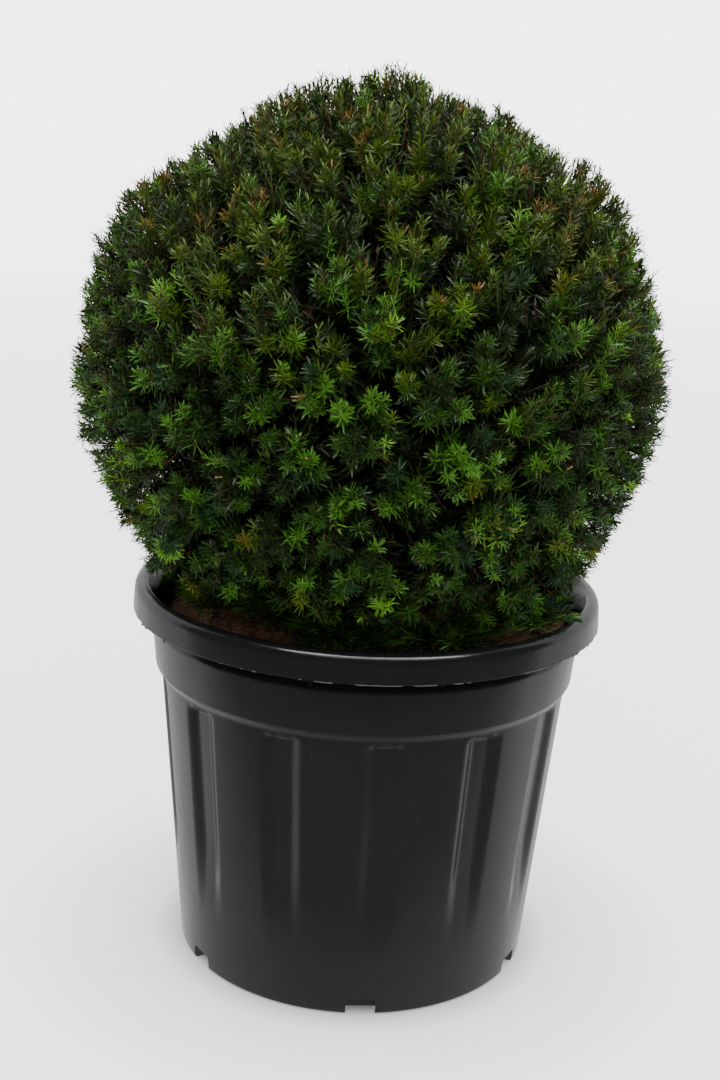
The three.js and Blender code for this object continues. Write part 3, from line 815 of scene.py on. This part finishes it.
def make_litter(materials):
    """Fallen needles, and bits of straw among them."""
    random = np.random.default_rng(43)
    for (name, count, length, width), material in zip(LITTER, materials):
        azimuth = random.uniform(0, 360, count)
        radius = (SOIL_RADIUS - 6) * np.sqrt(random.uniform(0.05, 1, count))
        root = polar(azimuth, radius, 0.0)
        root[:, 2] = soil_height(root[:, 0], root[:, 1]) + random.uniform(0.6, 2.4, count)
        direction = unit(random.normal(size=(count, 3)) * np.array([1, 1, 0.12]))
        size = random.uniform(*length, count)
        end = root + direction * size[:, None]
        inside = np.hypot(end[:, 0], end[:, 1]) < SOIL_RADIUS - 2
        left = inside.sum()
        points, faces = blades(root[inside], direction[inside], np.tile(UP, (left, 1)), size[inside],
                               np.full(left, width), random.normal(0, 1, left), True)
        piece(name, points, faces, material, "potting_soil")


# The stem


def make_stem(material):
    """Lobed where the roots leave it, leaning to its fork, with flaking upright ridges."""
    random = np.random.default_rng(51)
    rows, columns = 40, 72
    fork = STEM.fork
    z = np.linspace(SOIL_LEVEL - 4, fork + 4, rows)[:, None]
    azimuth = (np.arange(columns) * 360 / columns)[None]
    rise = (z - SOIL_LEVEL) / (fork - SOIL_LEVEL)
    flare = (STEM.foot - STEM.radius) * np.exp(-(z - SOIL_LEVEL) / STEM.flare)
    lobe = 1 + STEM.lobe * np.cos(np.radians(STEM.lobes * azimuth)) * (1 - smoothstep(0, 0.6, rise))
    ridges = smooth_noise(azimuth / 9, z / 14, 1.0, random)
    ridges = ridges + 0.5 * smooth_noise(azimuth / 4, z / 6, 1.0, random)
    swelling = 2 * smoothstep(fork - 16, fork, z)
    radius = (STEM.radius + flare + swelling) * lobe + STEM.ridge * ridges - 1
    points = polar(azimuth, radius, z)
    points[..., 0] += STEM.lean * (rise * rise - 1)
    top = points[-1:].mean(axis=1, keepdims=True) + np.zeros((1, columns, 1))
    points = np.concatenate([points, top]).reshape(-1, 3)
    piece("stem_bark", points, grid_faces(rows + 1, columns), material, "bark", ["stem"], True)


# The ball


def outline_radius(direction):
    """How far the tips reach from the ball's middle in each direction."""
    z = direction[:, 2]
    half = np.where(z > 0, RISE, FALL)
    flat = np.hypot(direction[:, 0], direction[:, 1])
    level = (flat / BALL_RADIUS) ** FULLNESS + (np.abs(z) / half) ** FULLNESS
    azimuth = np.arctan2(direction[:, 1], direction[:, 0])
    wave = np.sin(3 * azimuth + 4 * z + 1.3) + np.sin(5 * azimuth - 6 * z + 0.4)
    wave = wave + np.sin(2 * azimuth + 9 * z + 2.2)
    radius = level ** (-1 / FULLNESS) + UNEVENNESS * wave / 3
    for around, above, spread, height in SWELLINGS:
        middle = polar(around, math.cos(math.radians(above)), math.sin(math.radians(above)))
        apart = np.degrees(np.arccos(np.clip(direction @ middle, -1, 1))) / spread
        radius = radius + height * np.exp(-apart * apart)
    return radius


def outline_points(towards, depth=0.0):
    """The outline's points in those directions, or points that deep under it."""
    return CENTRE + towards * (outline_radius(towards) - depth)[:, None]


def directions(count, seed, uneven=0.5):
    """Evenly spread directions from the top of the ball down to its lower edge, a little out of step."""
    random = seeded(seed)
    stray = uneven / math.sqrt(count)
    found = []
    for i in range(count):
        z = 1 - (1 - LOWEST) * (i + 0.5) / count
        flat = math.sqrt(1 - z * z)
        found.append((
            flat * math.cos(GOLDEN_ANGLE * i) + stray * (2 * random() - 1),
            flat * math.sin(GOLDEN_ANGLE * i) + stray * (2 * random() - 1),
            z + stray * (2 * random() - 1),
        ))
    return unit(np.array(found))


def nearest(points, others):
    apart = np.linalg.norm(points[:, None] - others[None], axis=2)
    return apart.argmin(axis=1)


def in_ball(points):
    """Above the ball's underside, which rises inwards from its skirt."""
    radius = np.hypot(points[:, 0], points[:, 1])
    inward = 1 - smoothstep(0.4 * BALL_FLOOR.edge_radius, BALL_FLOOR.edge_radius, radius)
    floor = mix(BALL_FLOOR.edge, BALL_FLOOR.middle, inward)
    return points[:, 2] > np.where(radius > BALL_FLOOR.skirt_radius, BALL_FLOOR.skirt, floor)


def branch_out(ends, parents, random, join, droop=0.0, crooked=0.0):
    """Twigs from the nearest parent's curve to each end, leaving it at a slant."""
    parent = picked(parents, nearest(ends, parents[2]))
    t = random.uniform(*join, len(ends))
    start = on_curve(parent, t)
    span = ends - start
    reach = np.linalg.norm(span, axis=1, keepdims=True)
    leaving = unit(0.6 * along_curve(parent, t) + unit(span))
    bend = start + 0.5 * reach * leaving - np.reshape(droop, (-1, 1)) * reach * UP
    bend = bend + crooked * reach * random.normal(size=bend.shape)
    return start, bend, ends


def limb_ends(level):
    """Where the leaders or branches end: at their reach from the heart to the outline."""
    return mix(HEART, outline_points(directions(level.count, level.seed)), level.reach)


def tuft_recess(towards, sprays):
    """How far twigs stay back from the outline: some sprays are short, and it dips between sprays."""
    group = nearest(towards, sprays)
    apart = np.linalg.norm(towards - sprays[group], axis=1)
    own = TUFTS.uneven * np.random.default_rng(TUFTS.seed).random(len(sprays)) ** 1.5
    return own[group] + TUFTS.dip * np.clip(apart / np.quantile(apart, 0.9), 0, 1.3) ** 2


def grown(level, random, parents, parents_towards, sprays):
    """One level of finer twigs, drawn together round the level before: their curves, directions,
    depths and groups. They droop more towards the top."""
    towards = directions(level.count, level.seed, 1.2)
    group = nearest(towards, parents_towards)
    towards = unit(mix(towards, parents_towards[group], level.pull))
    depth = random.uniform(*level.depth, level.count) + tuft_recess(towards, sprays)
    depth = depth + level.recess * random.random(len(parents_towards))[group]
    ends = outline_points(towards, depth)
    droop = level.droop * (0.5 + smoothstep(-0.5, 0.4, towards[:, 2]))
    curve = branch_out(ends, parents, random, level.join, droop, level.crooked)
    kept = in_ball(ends - 3 * UP)
    return picked(curve, kept), towards[kept], depth[kept], group[kept]


def underside_twigs(random, branches):
    """The old twigs that fill the ball's underside."""
    count = UNDERSIDE.count
    radius = UNDERSIDE.reach * np.sqrt(random.random(count))
    ends = polar(random.uniform(0, 360, count), radius, random.uniform(*UNDERSIDE.height, count))
    twigs = branch_out(ends, branches, random, UNDERSIDE.join)
    return picked(twigs, in_ball(twigs[2]))


def bare_twigs(random):
    """Dead twigs in the ball's inside, none of which comes near its outline."""
    count = DEAD_TWIGS.count
    towards = directions(count, DEAD_TWIGS.seed)
    root = mix(HEART, outline_points(towards), random.uniform(*DEAD_TWIGS.reach, (count, 1)))
    way = unit(0.7 * towards + 0.8 * random.normal(size=towards.shape))
    end = root + way * random.uniform(*DEAD_TWIGS.length, (count, 1))
    bend = mix(root, end, 0.5) + 3 * random.normal(size=towards.shape)
    from_middle = end - CENTRE
    deep = np.linalg.norm(from_middle, axis=1) < outline_radius(unit(from_middle)) - DEAD_TWIGS.under
    return picked((root, bend, end), deep & in_ball(end) & in_ball(root))


def cut_ends(shoots, towards, random):
    """Stubs where shoots were clipped."""
    count = CUT_ENDS.count
    stubs = random.choice(len(shoots[2]), count, replace=False)
    foot = shoots[2][stubs]
    away = unit(towards[stubs] + 0.3 * UP + 0.2 * random.normal(size=foot.shape))
    end = foot + away * random.uniform(*CUT_ENDS.length, (count, 1))
    return foot, mix(foot, end, 0.5), end


def all_tinted(name, count):
    return np.full(count, TINT_NAMES.index(name))


def dealt_tints(towards, random):
    """A tint for each twig: bronze and olive above, and green below."""
    height = towards[:, 2]
    azimuth = np.arctan2(towards[:, 1], towards[:, 0])
    patch = np.sin(4 * azimuth + 5 * height + 1) + np.sin(7 * azimuth - 9 * height + 2)
    patch = patch + random.normal(0, 0.9, len(height))
    draw = random.random(len(height))
    upper = smoothstep(0.1, 0.6, height + 0.12 * patch)
    lower = 1 - smoothstep(-0.5, 0.2, height)
    mid = all_tinted("mid", len(height))
    tint = mid.copy()
    for name, (everywhere, above, by_patch, below) in TINT_SHARES.items():
        share = everywhere + above * upper + by_patch * patch + below * lower
        tint[(draw < share) & (tint == mid)] = TINT_NAMES.index(name)
        draw = random.random(len(height))
    return tint


def dimmed_tints(tint, depth):
    """The tints, darker the further in a twig ends: painted shade inside the ball, and older needles too.
    """
    for deeper_than in DIMMED_AT:
        tint = np.where(depth > deeper_than, NEXT_DARKER[tint], tint)
    return tint


def make_ball(materials, bark, young, cut_wood):
    """Leaders from the heart, then branches, sprays, shoots and tips, each from the one before."""
    random = np.random.default_rng(61)
    fork = np.array([[0.0, 0.0, STEM.fork]])
    trunk = (fork, mix(fork, HEART[None], 0.5), HEART[None])
    start = np.repeat(HEART[None], LEADERS.count, axis=0)
    ends = limb_ends(LEADERS)
    leaders = (start, mix(start, ends, 0.5) + LEADERS.crooked * random.normal(size=start.shape), ends)
    branches = branch_out(limb_ends(BRANCHES), leaders, random, BRANCHES.join, BRANCHES.droop)
    towards = directions(SPRAYS.count, SPRAYS.seed)
    ends = outline_points(towards, SPRAYS.depth)
    sprays = branch_out(ends, branches, random, SPRAYS.join, SPRAYS.droop)
    shoots, shoot_towards, shoot_depth, _ = grown(SHOOTS, random, sprays, towards, towards)
    tips, tip_towards, tip_depth, tip_group = grown(TIPS, random, shoots, shoot_towards, towards)
    inner, inner_towards, inner_depth, _ = grown(INNER_TIPS, random, sprays, towards, towards)
    heart, heart_towards, heart_depth, _ = grown(HEART_TIPS, random, branches, towards, towards)
    underside = underside_twigs(random, branches)

    wood = joined([
        tubes(trunk, STEM.radius, LEADERS.radius, 14, 8),
        tubes(leaders, LEADERS.radius, BRANCHES.radius, 9, 8),
        tubes(branches, BRANCHES.radius, SPRAYS.radius, 7, 6),
        tubes(sprays, SPRAYS.radius, SHOOTS.radius, 5, 5),
        tubes(shoots, SHOOTS.radius, TIPS.radius, 3, 3),
        tubes(inner, INNER_TIPS.radius, TWIG_END, 3, 1),
        tubes(heart, HEART_TIPS.radius, TWIG_END, 3, 1),
        tubes(underside, UNDERSIDE.radius, TWIG_END, 3, 2),
    ])
    dead = bare_twigs(random)
    stubs = cut_ends(shoots, shoot_towards, random)
    for name, form, material, smooth in (
        ("ball_twigs", wood, bark, True),
        ("ball_young_shoots", tubes(tips, TIPS.radius, TIP_END, 3, 2), young, True),
        ("ball_bare_twigs", tubes(dead, DEAD_TWIGS.radius, DEAD_TWIGS.end, 3, 2), bark, True),
        ("cut_twig_ends", tubes(stubs, CUT_ENDS.radius, CUT_ENDS.radius, 5, 2), cut_wood, False),
    ):
        piece(name, *form, material, "bark", ["clipped_ball"], smooth)

    sheaf = Sheaf()
    shoot_tints = dealt_tints(shoot_towards, random)
    own_tints = dealt_tints(tip_towards, random)
    tip_tints = np.where(random.random(len(own_tints)) < LIKE_ITS_SHOOT, shoot_tints[tip_group], own_tints)
    sheaf.add(tips, dimmed_tints(tip_tints, tip_depth), random, in_ball, **NEEDLES["tips"])
    sheaf.add(shoots, dimmed_tints(shoot_tints, shoot_depth), random, in_ball, **NEEDLES["shoots"])
    inner_tints = dimmed_tints(dealt_tints(inner_towards, random), inner_depth)
    inner_width = mix(*INNER_WIDTHS, smoothstep(*INNER_DEPTHS, inner_depth))
    sheaf.add(inner, inner_tints, random, in_ball, width=inner_width, **NEEDLES["inner"])
    # The large needles of the heart, the underside and the sprays take the darkest tints: a dark filler,
    # painted shade for the ball's inside.
    heart_tints = dimmed_tints(dealt_tints(heart_towards, random), heart_depth)
    sheaf.add(heart, heart_tints, random, in_ball, **NEEDLES["heart"])
    deep = all_tinted("deep", len(underside[0]))
    sheaf.add(underside, deep, random, in_ball, **NEEDLES["underside"])
    sheaf.add(sprays, all_tinted("deep", SPRAYS.count), random, in_ball, **NEEDLES["sprays"])
    sheaf.pieces("ball_needles", "foliage", ["clipped_ball"], materials)


# The low boughs and their masses


def bough_curve(azimuth):
    """A low bough from the stem, over a crown in its middle, to its mass."""
    start = polar(azimuth, 0, LOW_BOUGH.root) + np.array([-0.75 * STEM.lean, 0, 0])
    middle = polar(azimuth, 0.5 * LOW_BOUGH.reach, LOW_BOUGH.tip + LOW_BOUGH.crown)
    end = polar(azimuth, LOW_BOUGH.reach, LOW_BOUGH.tip)
    bend = 2 * middle - 0.5 * (start + end)
    return start[None], bend[None], end[None]


def in_low_space(azimuth, spread, reach):
    """Over the soil and the rim, under the ball, and between the neighbouring masses."""

    def inside(points):
        radius = np.hypot(points[:, 0], points[:, 1])
        around = np.degrees(np.arctan2(points[:, 1], points[:, 0]))
        aside = (around - azimuth + 180) % 360 - 180
        over_rim = radius > INSIDE.collar - 2
        lowest = np.where(over_rim, POT_HEIGHT + 2.5, SOIL_LEVEL + 4)
        level = (points[:, 2] > lowest) & (points[:, 2] < BALL_FLOOR.middle + 4)
        return level & (radius < reach + 16) & (np.abs(aside) < spread + 3)

    return inside


def low_twigs(knot, tangent, azimuth, spread, reach, droop, random):
    """The twigs that fan out from a bough's knot."""
    count = LOW_TWIGS.count
    fan = np.linspace(-1, 1, count) + 0.12 * random.normal(size=count)
    drop = droop * random.uniform(0.0, 1.5, count)
    reaches = reach - 18 * random.random(count)
    ends = polar(azimuth + 0.75 * spread * fan, reaches, LOW_BOUGH.tip + 3 - drop)
    start = np.repeat(knot - 6 * tangent, count, axis=0)
    bend = mix(start, ends, 0.5) + random.uniform(2, 9, count)[:, None] * UP
    return start, bend, ends


def low_shoots(twigs, inside, random):
    """Shoots to the left and right of each twig, as far as they stay in the mass's own space."""
    each, count = LOW_SHOOTS.count, LOW_TWIGS.count
    parent = picked(twigs, np.repeat(np.arange(count), each))
    t = np.tile(np.linspace(0.25, 0.95, each), count) + random.uniform(-0.04, 0.04, count * each)
    root = on_curve(parent, t)
    ahead = along_curve(parent, t)
    turned = unit(np.cross(UP, ahead)) * np.tile([1.0, -1.0], count * each // 2)[:, None]
    rise = UP * random.uniform(-0.25, 0.55, (len(t), 1))
    away = unit(0.8 * ahead + 0.8 * turned + rise)
    tip = root + away * random.uniform(*LOW_SHOOTS.length, (len(t), 1))
    return picked((root, mix(root, tip, 0.5) + 2.5 * UP, tip), inside(tip) & inside(root))


def make_low_masses(materials, bark, young):
    random = np.random.default_rng(71)
    boughs, old_wood, young_wood = [], [], []
    sheaf = Sheaf()
    for azimuth, spread, reach, droop in LOW_MASSES:
        bough = bough_curve(azimuth)
        boughs.append(tubes(bough, LOW_BOUGH.thick, LOW_BOUGH.thin, 8, 10))
        tangent = along_curve(bough, np.ones(1))
        knot = bough[2] + LOW_KNOT.length * tangent
        to_knot = (bough[2], bough[2] + 0.5 * LOW_KNOT.length * tangent, knot)
        old_wood.append(tubes(to_knot, LOW_BOUGH.thin, LOW_KNOT.end, 7, 3))
        inside = in_low_space(azimuth, spread, reach)
        twigs = low_twigs(knot, tangent, azimuth, spread, reach, droop, random)
        old_wood.append(tubes(twigs, LOW_TWIGS.thick, LOW_TWIGS.thin, 5, 6))
        shoots = low_shoots(twigs, inside, random)
        young_wood.append(tubes(shoots, LOW_SHOOTS.thick, LOW_SHOOTS.thin, 3, 3))
        names = random.choice(list(LOW_TINTS), len(shoots[0]), p=list(LOW_TINTS.values()))
        tint = np.array([TINT_NAMES.index(name) for name in names])
        sheaf.add(shoots, tint, random, inside, **NEEDLES["low_shoots"])
        sheaf.add(twigs, all_tinted("shade", LOW_TWIGS.count), random, inside, **NEEDLES["low_twigs"])
    numbers = range(1, len(LOW_MASSES) + 1)
    masses = [f"low_sprays_{n}" for n in numbers]
    piece("low_boughs", *joined(boughs), bark, "bark", [f"low_bough_{n}" for n in numbers], True)
    piece("low_twigs", *joined(old_wood), bark, "bark", masses, True)
    piece("low_young_shoots", *joined(young_wood), young, "bark", masses, True)
    sheaf.pieces("low_needles", "low_foliage", masses, materials)


# The surroundings


def make_floor():
    """Pale and glowing, and paler still far off, where it meets the walls; round the pot's foot the glow
    fades to nothing, a painted contact shadow. Gloss sees it dark before the plant.
    """
    material, shader = new_material("pale_floor", (0.80, 0.81, 0.81), 0.6, 0.3)
    shader.inputs["Emission Strength"].default_value = 0.5
    tree = material.node_tree
    distance = add_node(tree, "ShaderNodeVectorMath", coordinates(tree, "Object"))
    distance.operation = "LENGTH"
    far = ranged(distance.outputs["Value"], 0.13, 6.0)
    # No glow round the pot's foot: a painted contact shadow.
    link(stepped(far, [(0.002, grey(0)), (0.008, grey(1))]), shader.inputs["Emission Color"])
    path = add_node(tree, "ShaderNodeLightPath")
    strength = add_node(tree, "ShaderNodeMath", path.outputs["Is Camera Ray"])
    strength.operation = "MULTIPLY"
    strength.inputs[1].default_value = CAMERA_WHITE
    # The camera's extra glow rises from nothing at the pot's foot, a painted contact shadow, to the walls'
    # white far off.
    camera_glow_and_contact_shadow = [(0.002, grey(0)), (0.007, grey(0.12)), (0.029, grey(0.30)), (1, grey(0.74))]
    seen = add_node(tree, "ShaderNodeEmission", stepped(far, camera_glow_and_contact_shadow), strength.outputs[0])
    both = add_node(tree, "ShaderNodeAddShader", shader.outputs[0], seen.outputs[0])
    behind = ranged(along_axis(tree, "Object", "Y"), -0.9, -0.02)
    shown = stepped(behind, [(0, grey(0.13)), (0.7, grey(0.30)), (1, grey(0.95))])
    mirrored = add_node(tree, "ShaderNodeEmission", shown).outputs[0]
    gloss = path.outputs["Is Glossy Ray"]
    either = add_node(tree, "ShaderNodeMixShader", gloss, both.outputs[0], mirrored)
    link(either.outputs[0], tree.nodes["Material Output"].inputs["Surface"])
    radius, below, sides = 14, -0.0004, 64
    turns = [2 * math.pi * n / sides for n in range(sides)]
    mesh = bpy.data.meshes.new("floor")
    ring = [(radius * math.cos(turn), radius * math.sin(turn), below) for turn in turns]
    mesh.from_pydata(ring, [], [list(range(sides))])
    mesh.materials.append(material)
    in_scene("floor", mesh)


def make_world():
    """White walls all round, and a darker room behind the camera that only light and gloss see."""
    world = bpy.data.worlds.new("studio")
    bpy.context.scene.world = world
    world.use_nodes = True
    tree = world.node_tree
    background = tree.nodes["Background"]
    background.inputs["Strength"].default_value = 1.0
    towards_back = ranged(along_axis(tree, "Generated", "Y"), -1, 1)
    room = stepped(towards_back, [(0.53, (0.035, 0.036, 0.038)), (0.61, (0.95, 0.96, 0.97))])
    path = add_node(tree, "ShaderNodeLightPath")
    choose = add_node(tree, "ShaderNodeMix", path.outputs["Is Camera Ray"])
    choose.data_type = "RGBA"
    choose.inputs[7].default_value = (*grey(CAMERA_WHITE), 1)
    link(room, choose.inputs[6])
    link(choose.outputs[2], background.inputs["Color"])


def soft_light(name, place, size, power, in_gloss, in_diffuse=True):
    """A rectangle of light that the camera doesn't see, with its place and size in metres."""
    lamp = bpy.data.lights.new(name, "AREA")
    lamp.shape = "RECTANGLE"
    lamp.size, lamp.size_y = size
    lamp.energy = power
    lamp.color = (1.0, 0.99, 0.97)
    light = in_scene(name, lamp)
    light.location = place
    light.rotation_euler = (AIM - Vector(place)).to_track_quat("-Z", "Y").to_euler()
    light.visible_camera = False
    light.visible_glossy = in_gloss
    light.visible_diffuse = in_diffuse


def make_camera():
    data = bpy.data.cameras.new("camera")
    data.lens = CAMERA.lens
    data.sensor_width = CAMERA.sensor
    camera = in_scene("camera", data)
    tilt = Matrix.Rotation(math.radians(CAMERA.pitch), 4, "X")
    roll = Matrix.Rotation(math.radians(CAMERA.roll), 4, "Z")
    camera.matrix_world = Matrix.Translation(Vector(CAMERA.place) * MM) @ tilt @ roll
    bpy.context.scene.camera = camera


# The whole plant

make_camera()
make_world()
make_floor()
soft_light("ceiling_light", (0.1, -0.7, 2.5), (2.6, 2.6), 70, in_gloss=True)
soft_light("front_light", (0.2, -2.4, 0.8), (1.6, 1.6), 15, in_gloss=False)
soft_light("lamp", (0.1, -0.95, 2.4), (2.8, 0.26), 48, in_gloss=True, in_diffuse=False)
soft_light("left_light", (-2.4, 0.2, 1.1), (1.8, 1.8), 22, in_gloss=False)
soft_light("right_light", (2.4, 0.3, 1.1), (1.8, 1.8), 24, in_gloss=False)

plastic = plastic_material()
make_pot(plastic)
# The flash's pale grey is partly wear and partly a painted highlight.
make_flash(plain_fibre("flash_wear_and_highlight", (0.10, 0.10, 0.10)), plastic)
# The peat and its crumbs are far lighter than real peat: painted light on soil that the ball shades.
make_soil(peat_material("peat", 4.2))
make_crumbs([peat_material("peat_dark", 1.8), peat_material("peat_red", 4.8)])
make_litter([plain_fibre("dry_needles", (0.13, 0.060, 0.025)), plain_fibre("straw", (0.34, 0.24, 0.11))])
bark = bark_material("bark", (0.085, 0.045, 0.028), 300.0)
young = bark_material("young_bark", (0.095, 0.105, 0.032), 400.0)
cut_wood = plain_fibre("cut_wood", (0.26, 0.17, 0.09))
needles = {name: needle_material(f"needles_{name}", colour) for name, (colour, _) in TINTS.items()}
# The low sprays' needles are lighter, glossier copies of the tints: painted light on sprays that the ball
# shades.
low_needles = {
    name: needle_material(f"low_needles_{name}", tuple(1.25 * c + 0.004 for c in colour), (0.26, 0.35))
    for name, (colour, _) in TINTS.items()
}
make_stem(bark)
make_ball(needles, bark, young, cut_wood)
make_low_masses(low_needles, bark, young)
